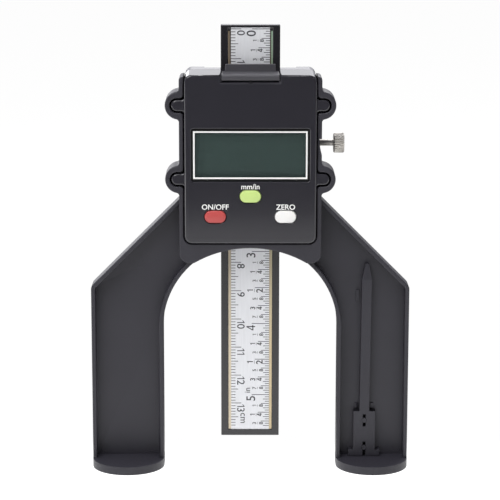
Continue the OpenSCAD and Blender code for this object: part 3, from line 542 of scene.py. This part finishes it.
def strip_grid(path, y0, y1, width):
    """A strip along a path of (x, z) points, closed at both ends. Its section runs from y0 to y1
    and is width across: |x|^4 + |y|^4 = 1 scaled to them, so nearly a rectangle."""
    ring = np.linspace(0, 2 * math.pi, section_points, endpoint=False)
    across = np.sign(np.cos(ring)) * np.abs(np.cos(ring)) ** 0.5 * width / 2
    depth = np.sign(np.sin(ring)) * np.abs(np.sin(ring)) ** 0.5 * (y1 - y0) / 2
    along = np.gradient(path, axis=0)
    side = np.stack([-along[:, 1], along[:, 0]], axis=-1)
    side /= np.linalg.norm(along, axis=1)[:, None]
    rows = np.concatenate([[0], np.arange(len(path)), [len(path) - 1]])
    size = np.concatenate([[0], np.ones(len(path)), [0]])[:, None]
    return np.stack([path[rows, :1] + size * side[rows, :1] * across, (y0 + y1) / 2 + size * depth,
                     path[rows, 1:] + size * side[rows, 1:] * across], axis=-1)


cover_low, cover_high = (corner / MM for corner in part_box("back_cover"))
gap_strip_x = cover_high.x + cover_inset + body_gap / 2
gap_strip_z = cover_low.z - cover_inset - body_gap / 2
bend_x, bend_z = gap_strip_x - corner_radius, gap_strip_z + corner_radius
turned_foot = [(gap_strip_foot_x, gap_strip_z)] + [
    (bend_x + corner_radius * math.cos(a), bend_z + corner_radius * math.sin(a))
    for a in np.linspace(-math.pi / 2, 0, bend_points)]
gap_strip_top = (gap_strip_x, cover_high.z - gap_strip_head)
gap_strip_paths = [
    (turned_foot + [gap_strip_top], back_depths),
    (turned_foot + [(gap_strip_x, low_tab - tab_room)], front_depths),
    ([(gap_strip_x, low_tab + tab_room), (gap_strip_x, high_tab - tab_room)], front_depths),
    ([(gap_strip_x, high_tab + tab_room), gap_strip_top], front_depths)]
gap_shade_grids = [strip_grid(np.array(path) * (side, 1), *depths, gap_strip_width)
              for side in (-1, 1) for path, depths in gap_strip_paths]
# A dead black for the painted shade in the gap, pitted by a grain of 0.25 mm.
gap_shade_black = moulded_plastic("painted_gap_shade_black", "#18181a", 0.8, 0.25, 0.02, ior=1.4)
grids_piece("gap_shade_strips", gap_shade_grids, gap_shade_black, "stand")

# Lock screw
# A turned brass thumb screw, nickel plated, with a straight-knurled head. It runs in a brass bush
# and presses an acetal shoe against the bar.
screw_low, screw_high = (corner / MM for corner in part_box("lock_screw"))
screw_y, screw_z = (screw_low.y + screw_high.y) / 2, (screw_low.z + screw_high.z) / 2
head_radius = (screw_high.z - screw_low.z) / 2
head_length, head_chamfer = 3.65, 0.35
head_x = screw_high.x - head_length
dish_depth, dish_rim, dish_floor = 0.12, 1.0, 1.25
knurl_count, knurl_depth, knurl_points = 26, 0.3, 10
knurl_power, knurl_run = 0.7, 0.05
shank_radius, shank_points, neck_run, head_overlap = 1.1, 24, 0.2, 0.1
thread_lead, thread_end, thread_depth, thread_pitch, thread_steps = 0.3, 21.6, 0.16, 0.4, 6


def turned(x, radius):
    """Rows of points: at each station x a ring of that radius, which may vary round it, about the
    screw's axis."""
    ring = np.linspace(0, 2 * math.pi, radius.shape[1], endpoint=False)
    return np.stack([np.broadcast_to(x[:, None], radius.shape), screw_y + radius * np.cos(ring),
                     screw_z + radius * np.sin(ring)], axis=-1)


# The head: a face, a chamfer, the knurled band, a chamfer and a dished face. knurled says how far
# the grooves are cut at each station.
knurl_ring = np.linspace(0, 2 * math.pi, knurl_count * knurl_points, endpoint=False)
ridges = np.abs(np.sin(knurl_ring * knurl_count / 2)) ** knurl_power
band_start, band_end = head_chamfer, head_length - head_chamfer
head_face = head_radius - head_chamfer
head_stations = np.array([
    0, 0, band_start, band_start + knurl_run, band_end - knurl_run, band_end, head_length,
    head_length, head_length - dish_depth, head_length - dish_depth])
head_profile = np.array([
    0, head_face, head_radius, head_radius, head_radius, head_radius, head_face,
    head_radius - dish_rim, head_radius - dish_floor, 0])
knurled = np.array([0, 0, 0.6, 1, 1, 0.6, 0, 0, 0, 0])
head_rings = head_profile[:, None] - knurl_depth * knurled[:, None] * (1 - ridges)
# The shank: a threaded length, its radius less a helical wave of one pitch a turn, then a neck.
shank_ring = np.linspace(0, 2 * math.pi, shank_points, endpoint=False)
thread_x = np.arange(screw_low.x + thread_lead, thread_end, thread_pitch / thread_steps)
wave = 0.5 - 0.5 * np.cos(2 * math.pi * thread_x[:, None] / thread_pitch - shank_ring)
neck_end = head_x + head_overlap
shank_x = np.concatenate([
    [screw_low.x, screw_low.x], thread_x, [thread_end + neck_run, neck_end, neck_end]])
shank_rings = np.concatenate([
    np.zeros((1, shank_points)), np.full((1, shank_points), shank_radius - thread_depth),
    shank_radius - thread_depth * wave, np.full((2, shank_points), shank_radius),
    np.zeros((1, shank_points))])
# Nickel plate over turned brass: fine rings from the tool, so the gloss is drawn out round the
# axis. The bush is the same brass, left bare.
plated_brass = worked_metal("nickel_plate_turned", "#dedad3", 0.4, 0.3, (1, 0.2, 0.2))
turned_brass = worked_metal("brass_turned", "#c2a35a", 0.3, 0.3, (1, 0.2, 0.2))
# Acetal, uncoloured: a milky, waxy white.
natural_acetal = moulded_plastic("acetal_natural", "#e0dccf", 0.4, 0.4, 0.003, ior=1.48)
screw_grids = [turned(head_x + head_stations, head_rings), turned(shank_x, shank_rings)]
thumb_screw = grids_piece("lock_screw_turned", screw_grids, plated_brass, "lock", 40)
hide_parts("lock_screw")
dress_node("lock_insert", turned_brass)
dress_node("brake_pad", natural_acetal)

# Scale bar
# A moulded ABS bar, blacker than the frame, with a fibreglass circuit strip set into its front and
# a printed silver rule glued over the strip. The strip's bare edges show beside the rule.
board_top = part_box("scale_board")[1].z
darkening_start = 40             # height where the strip begins to darken, with painted shadow beside the rule
strip_half = 7
line_start, line_full = 6.98, 7.1


def glass_laminate(name):
    """Glass-fibre laminate: cream resin with a woven cloth in it. Up the strip it turns darker:
    dark beside the rule, which is painted shadow of the rule's edge, and tan or green in a paler
    line along each outer edge. The cloth is a wave with its threads 0.5 mm apart, and a wave's
    period is 0.314 over its scale."""
    material, tree, place = new_material(name)
    cloth = add(tree, "ShaderNodeTexWave", {
        "Vector": place, "Scale": 0.314 / (0.5 * MM), "Distortion": 1.0}, bands_direction="Z")
    spot = add(tree, "ShaderNodeSeparateXYZ", {"Vector": place})
    rise = add(tree, "ShaderNodeMapRange", {
        "Value": spot.outputs["Z"], "From Min": darkening_start * MM, "From Max": board_top})
    side = add(tree, "ShaderNodeMapRange", {
        "Value": spot.outputs["X"], "From Min": -strip_half * MM, "From Max": strip_half * MM})
    outward = add(tree, "ShaderNodeMath", {0: spot.outputs["X"]}, operation="ABSOLUTE")
    line = add(tree, "ShaderNodeMapRange", {
        "Value": outward.outputs["Value"], "From Min": line_start * MM, "From Max": line_full * MM})
    rule_shadow, outer, bare = (
        add(tree, "ShaderNodeMix", {
            0: side.outputs["Result"], 6: linear(left), 7: linear(right)}, data_type="RGBA")
        for left, right in (("#362d24", "#393a2b"), ("#83745f", "#93ae98"), ("#d9cbb2", "#d5c39e")))
    # coat puts painted shadow of the rule's edge beside the rule, and the paler tan or green line
    # along each outer edge.
    coat = add(tree, "ShaderNodeMix", {
        0: line.outputs["Result"], 6: rule_shadow.outputs[2], 7: outer.outputs[2]}, data_type="RGBA")
    resin = add(tree, "ShaderNodeMix", {
        0: rise.outputs["Result"], 6: bare.outputs[2], 7: coat.outputs[2]}, data_type="RGBA")
    tone = add(tree, "ShaderNodeMapRange", {
        "Value": cloth.outputs["Fac"], "To Min": 0.93, "To Max": 1.05})
    tint = add(tree, "ShaderNodeHueSaturation", {
        "Color": resin.outputs[2], "Value": tone.outputs["Result"]})
    shader = add(tree, "ShaderNodeBsdfPrincipled", {
        "Base Color": tint.outputs["Color"], "Roughness": 0.45, "IOR": 1.55})
    add(tree, "ShaderNodeOutputMaterial", {"Surface": shader.outputs["BSDF"]})
    return material


def silver_film(name):
    """Silver printed film: an even pale grey with a satin coat, and fine streaks of 0.4 mm drawn
    out twenty times along the web it was made on."""
    material, tree, place = new_material(name)
    drawn = add(tree, "ShaderNodeMapping", {"Vector": place, "Scale": (1, 1, 0.05)})
    streak = add(tree, "ShaderNodeTexNoise", {
        "Vector": drawn.outputs["Vector"], "Scale": 1 / (0.4 * MM)})
    tone = add(tree, "ShaderNodeMapRange", {
        "Value": streak.outputs["Fac"], **noise_span, "To Min": 0.96, "To Max": 1.03})
    tint = add(tree, "ShaderNodeHueSaturation", {
        "Color": linear("#e4e5e9"), "Value": tone.outputs["Result"]})
    shader = add(tree, "ShaderNodeBsdfPrincipled", {
        "Base Color": tint.outputs["Color"], "Metallic": 0.2, "Roughness": 0.4})
    add(tree, "ShaderNodeOutputMaterial", {"Surface": shader.outputs["BSDF"]})
    return material


# Black ABS from the same kind of tool as the frame: a deeper black with a closer light.
bar_abs = moulded_plastic("abs_black_spark_eroded", "#1b1a1e", 0.22, 0.3, 0.003, ior=1.62)
dressed_copy("scale_bar", "scale_bar_moulding", "bar", bar_abs, edge=0.25)
dress_node("scale_board", glass_laminate("fibreglass_laminate"))
dress_node("rule_label", silver_film("silver_film_satin"))

# Printing on the rule
# Both scales count down from the top: millimetres along the left edge, numbered in centimetres
# with their tops to the right, and thirty-seconds of an inch along the right edge, with their tops
# to the left. Each scale's unit is printed once, near its lower end.
label_low, label_high = (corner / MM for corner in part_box("rule_label"))
rule_head, rule_foot = 0.5, 1           # bare film over the zero and under the last tick
rule_zero = label_high.z - rule_head
rule_length = rule_zero - label_low.z - rule_foot
print_y = label_low.y - ink_lift
inch = 25.4
tick_width = 0.22
cm_tick, half_tick, mm_tick = 3.45, 2.45, 1.5
inch_ticks = {32: 6.0, 16: 4.95, 8: 3.85, 4: 2.8, 2: 2.05}     # by thirty-seconds between them
part_tick = 1.4
cm_base, cm_cap = -4.45, 2.55
inch_base, inch_cap = 1.75, 3.0
number_gap, fraction_gap, letter_gap = 0.5, 0.3, 0.14
figure_stroke, fraction_stroke = 0.12, 0.165
figure_weight, weight_rise = 0.006, 0.25
fraction_bar = 0.12
# Fractions: denominator to (numerator's cap and base, bar's place and length, denominator's cap
# and base).
fraction_sizes = {2: (2.0, 1.0, 1.5, 1.15, 2.2, 4.3), 4: (1.65, 1.7, 2.1, 0.95, 1.75, 4.1),
                  8: (1.25, 2.1, 2.55, 0.75, 1.35, 4.5)}


def own_figures(stroke):
    """Points and faces of two figures, in heights of a capital, with strokes of that width: a one
    whose stem has a flag, and a four made of a post, an arm and a slope."""
    stem, post, arm = 0.36 - stroke, 0.51 - stroke, 0.33 - stroke
    one = [(stem, 0), (0.36, 0), (0.36, 1), (stem + 0.04, 1), (0, 0.67 + stroke), (0, 0.67),
           (stem, 0.84)]
    four = [(post, 0), (0.51, 0), (0.51, 1), (post, 1),
            (0, arm), (0.64, arm), (0.64, 0.33), (0, 0.33),
            (0, 0.33), (stroke, 0.33), (0.5, 1), (0.5 - stroke, 1)]
    return {"1": (np.array(one), [[0, 1, 2, 3, 4, 5, 6]]),
            "4": (np.array(four), [[0, 1, 2, 3], [4, 5, 6, 7], [8, 9, 10, 11]])}


def ticks(values, spacing, lengths, edge, inwards):
    """Tick marks at zero - value x spacing, each of its own length inwards from the rule's edge."""
    z = rule_zero - values * spacing
    ends = edge + inwards * lengths
    return front_quads(np.minimum(edge, ends), np.maximum(edge, ends), z - tick_width / 2,
                       z + tick_width / 2, print_y)


def number(text, cap, base, place, reads_down, stroke=figure_stroke, centred=False):
    """A number turned on its side, below the height place or centred on it: reading down the rule
    its capitals rise to +X from base, and reading up they rise to -X."""
    points, faces, pen, count = [], [], 0.0, 0
    figures = own_figures(stroke)
    weight = figure_weight + weight_rise * (stroke - figure_stroke)
    for letter in text:
        shape, outline = figures[letter] if letter in figures else lettering(letter, weight)
        points.append(shape + [pen, 0])
        faces += [[count + i for i in face] for face in outline]
        pen += shape[:, 0].max() + letter_gap
        count += len(shape)
    run, rise = (np.concatenate(points) * cap).T
    top_z = place + run.max() / 2 if centred else place
    x = base + rise if reads_down else base - rise
    z = top_z - run if reads_down else top_z - run.max() + run
    return np.stack([x, np.full_like(x, print_y), z], axis=-1), faces


mm_count = int(rule_length)
mm_values = np.arange(mm_count + 1)
mm_lengths = np.select([mm_values % 10 == 0, mm_values % 5 == 0], [cm_tick, half_tick], mm_tick)
part_count = int(rule_length / inch * 32)
part_values = np.arange(part_count + 1)
part_lengths = np.select([part_values % parts == 0 for parts in inch_ticks],
                         list(inch_ticks.values()), part_tick)
rule_marks = [ticks(mm_values, 1.0, mm_lengths, label_low.x, 1),
              ticks(part_values, inch / 32, part_lengths, label_high.x, -1)]
for cm in range(mm_count // 10 + 1):
    rule_marks.append(number(str(cm), cm_cap, cm_base, rule_zero - 10 * cm - number_gap, True))
for whole in range(part_count // 32 + 1):
    rule_marks.append(number(str(whole), inch_cap, inch_base,
                             rule_zero - inch * whole - number_gap, False))
for eighth in range(1, part_count // 4 + 1):
    share = math.gcd(eighth, 8)
    if share == 8:
        continue
    over, under = eighth % 8 // share, 8 // share
    over_cap, over_base, bar_x, bar_length, under_cap, under_base = fraction_sizes[under]
    under_top = rule_zero - eighth * inch / 8 - fraction_gap
    below = number(str(under), under_cap, under_base, under_top, False, fraction_stroke)
    middle = (below[0][:, 2].min() + below[0][:, 2].max()) / 2
    above = number(str(over), over_cap, over_base, middle, False, fraction_stroke, True)
    bar = front_quads(bar_x - fraction_bar / 2, bar_x + fraction_bar / 2, middle - bar_length / 2,
                      middle + bar_length / 2, print_y)
    rule_marks += [below, above, bar]
rule_marks += [
    number("cm", cap=2.2, base=cm_base + 1.15, place=rule_zero - 130 - 3.6, reads_down=True),
    number("in", cap=1.95, base=inch_base - 1.75, place=rule_zero - 5 * inch + 2.45,
           reads_down=False)]
# Rule ink: a dark grey that stays crisp on the silver.
rule_ink = printed_ink("rule_ink_dark_grey", "#3a3a3f", 0.45)
print_piece("rule_print", rule_marks, rule_ink, "bar")

# Groove probe
# A slim rod moulded in the frame's ABS, with a sprung clip at its foot, for measuring down into
# grooves. It is stored on two pegs in the right leg.
probe_low, probe_high = (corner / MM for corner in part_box("groove_probe"))
peg_x, peg_reach = (probe_low.x + probe_high.x) / 2, 1.3
probe_skin = 0.1


def probe_edges(start, end):
    """Edges of the probe's front plane, but not those of the holes that its pegs pass through."""
    in_front = keeps_depth(start, end) and start.y < probe_low.y + probe_skin
    return in_front and min(abs(start.x - peg_x), abs(end.x - peg_x)) > peg_reach


dressed_copy("groove_probe", "groove_probe_moulding", "probe", charcoal_abs,
             edge=0.18, share_of=probe_edges)

# Studio
# A white table that ends in front of the object and runs on behind it into a white surround.
# One large soft lamp stands overhead, and a weaker one in front. A long panel behind gives the pale
# upper edges, a low one at the left rear the line on the left arm, and a high lamp lights the back.
table_front, table_back, table_half, table_drop = -0.47, 4.0, 3.0, 0.0002
table_mesh = bpy.data.meshes.new("table")
table_corners = [[-table_half, table_front, -table_drop], [table_half, table_front, -table_drop],
                 [table_half, table_back, -table_drop], [-table_half, table_back, -table_drop]]
table_mesh.from_pydata(table_corners, [], [[0, 1, 2, 3]])
table = bpy.data.objects.new("table", table_mesh)
bpy.context.scene.collection.objects.link(table)

# Matt white board, which keeps the object's shadow. For mirrored rays it glows as painted light:
# brightest on the left, which draws a line along the body's left edge, brighter in a painted pool
# just in front of the object, and faded out behind the object by painted shade.
table_white, tree, place = new_material("table_white_matt")
path = add(tree, "ShaderNodeLightPath")
matt = add(tree, "ShaderNodeBsdfDiffuse", {"Color": linear("#f2f2f2")})
spot = add(tree, "ShaderNodeSeparateXYZ", {"Vector": place})
left, painted_light_pool, painted_shade_behind = (
    add(tree, "ShaderNodeMapRange", {
        "Value": spot.outputs[axis], "From Min": start, "From Max": end,
        "To Min": first, "To Max": last}, interpolation_type="SMOOTHSTEP")
    for axis, start, end, first, last in (
        ("X", -0.6, -0.25, 2.8, 1.0), ("Y", -0.3, -0.03, 1.0, 1.45), ("Y", -0.02, 0.1, 1.0, 0.07)))
# The painted glow: the left side and the pool together, then dimmed behind the object by painted
# shade.
painted_glow = add(tree, "ShaderNodeMath", {
    0: painted_light_pool.outputs["Result"], 1: left.outputs["Result"]}, operation="MULTIPLY")
shade = add(tree, "ShaderNodeMath", {
    0: painted_glow.outputs["Value"], 1: painted_shade_behind.outputs["Result"]}, operation="MULTIPLY")
straight = add(tree, "ShaderNodeMath", {
    0: path.outputs["Is Camera Ray"], 1: path.outputs["Is Transmission Ray"]}, operation="MAXIMUM")
bright = add(tree, "ShaderNodeMath", {
    0: straight.outputs["Value"], 1: shade.outputs["Value"]}, operation="MAXIMUM")
lit = add(tree, "ShaderNodeEmission", {
    "Color": linear("#ffffff"), "Strength": bright.outputs["Value"]})
seen = add(tree, "ShaderNodeMath", {
    0: straight.outputs["Value"], 1: path.outputs["Is Glossy Ray"]}, operation="MAXIMUM")
veil = add(tree, "ShaderNodeMath", {0: seen.outputs["Value"], 1: 0.97}, operation="MULTIPLY")
cover = add(tree, "ShaderNodeMixShader", {
    0: veil.outputs["Value"], 1: matt.outputs["BSDF"], 2: lit.outputs["Emission"]})
add(tree, "ShaderNodeOutputMaterial", {"Surface": cover.outputs["Shader"]})
table_mesh.materials.append(table_white)

# The surround is white to the eye, and lights the object like a room: pale behind it, dim to the
# right and in front, and a little cool where it is mirrored.
world = bpy.data.worlds.new("studio")
bpy.context.scene.world = world
world.use_nodes = True
tree = world.node_tree
tree.nodes.clear()
path = add(tree, "ShaderNodeLightPath")
direction = add(tree, "ShaderNodeTexCoord").outputs["Generated"]
way = add(tree, "ShaderNodeSeparateXYZ", {"Vector": direction})
behind = add(tree, "ShaderNodeMapRange", {
    "Value": way.outputs["Y"], "From Min": -0.9, "From Max": -0.2},
    interpolation_type="SMOOTHSTEP")
mirrored = add(tree, "ShaderNodeMath", {
    0: path.outputs["Is Glossy Ray"], 1: path.outputs["Is Transmission Ray"]}, operation="MAXIMUM")
glow = add(tree, "ShaderNodeMapRange", {
    "Value": mirrored.outputs["Value"], "To Min": 0.5, "To Max": 0.72})
sideways = add(tree, "ShaderNodeMapRange", {
    "Value": way.outputs["X"], "From Min": 0.08, "From Max": 0.3, "To Min": 1.0, "To Max": 0.45},
    interpolation_type="SMOOTHSTEP")
pale = add(tree, "ShaderNodeMath", {
    0: glow.outputs["Result"], 1: sideways.outputs["Result"]}, operation="MULTIPLY")
room = add(tree, "ShaderNodeMapRange", {
    "Value": behind.outputs["Result"], "To Min": 0.15, "To Max": pale.outputs["Value"]})
level = add(tree, "ShaderNodeMath", {
    0: room.outputs["Result"], 1: path.outputs["Is Camera Ray"]}, operation="MAXIMUM")
cool = add(tree, "ShaderNodeMix", {
    0: mirrored.outputs["Value"], 6: linear("#ffffff"), 7: linear("#f3f3fc")}, data_type="RGBA")
backdrop = add(tree, "ShaderNodeBackground", {
    "Color": cool.outputs[2], "Strength": level.outputs["Value"]})
add(tree, "ShaderNodeOutputWorld", {"Surface": backdrop.outputs["Background"]})

# Lamps: name, place, width, height and power in watts, all turned to the middle of the object.
lamp_aim = Vector((0, 0, 0.075))
for name, place, width, height, power in (
        ("overhead_lamp", (-0.05, -0.12, 0.8), 0.7, 0.6, 6.0),
        ("front_lamp", (-0.35, -0.65, 0.75), 0.5, 0.5, 3.8),
        ("panel_behind", (0.0, 0.8, 0.45), 1.4, 0.5, 1.65),
        ("left_panel", (-0.32, 0.75, 0.15), 0.4, 0.3, 0.5),
        ("rear_lamp", (0.35, 0.75, 0.95), 0.7, 0.7, 7.0)):
    lamp = bpy.data.lights.new(name, "AREA")
    lamp.shape = "RECTANGLE"
    lamp.size, lamp.size_y, lamp.energy = width, height, power
    holder = bpy.data.objects.new(name, lamp)
    bpy.context.scene.collection.objects.link(holder)
    holder.location = place
    holder.rotation_euler = (lamp_aim - Vector(place)).to_track_quat("-Z", "Y").to_euler()
    holder.visible_camera = False
    holder.visible_glossy = name != "overhead_lamp"

# Camera
# The photograph's own view: a long lens a little above the display, looking down by some 11
# degrees.
camera_place = Vector((-0.0030663, -0.69365, 0.2166))
right = Vector((0.99999106, -0.00406071, 0.0011759))
upward = Vector((-0.00034257, 0.19940317, 0.97991747))
camera = bpy.data.cameras.new("camera")
camera.sensor_width, camera.lens = 36.0, 149.4
view = Matrix((right, upward, right.cross(upward))).transposed().to_4x4()
view.translation = camera_place
viewer = bpy.data.objects.new("camera", camera)
bpy.context.scene.collection.objects.link(viewer)
viewer.matrix_world = view
bpy.context.scene.camera = viewer
bpy.context.scene.view_settings.view_transform = "Standard"
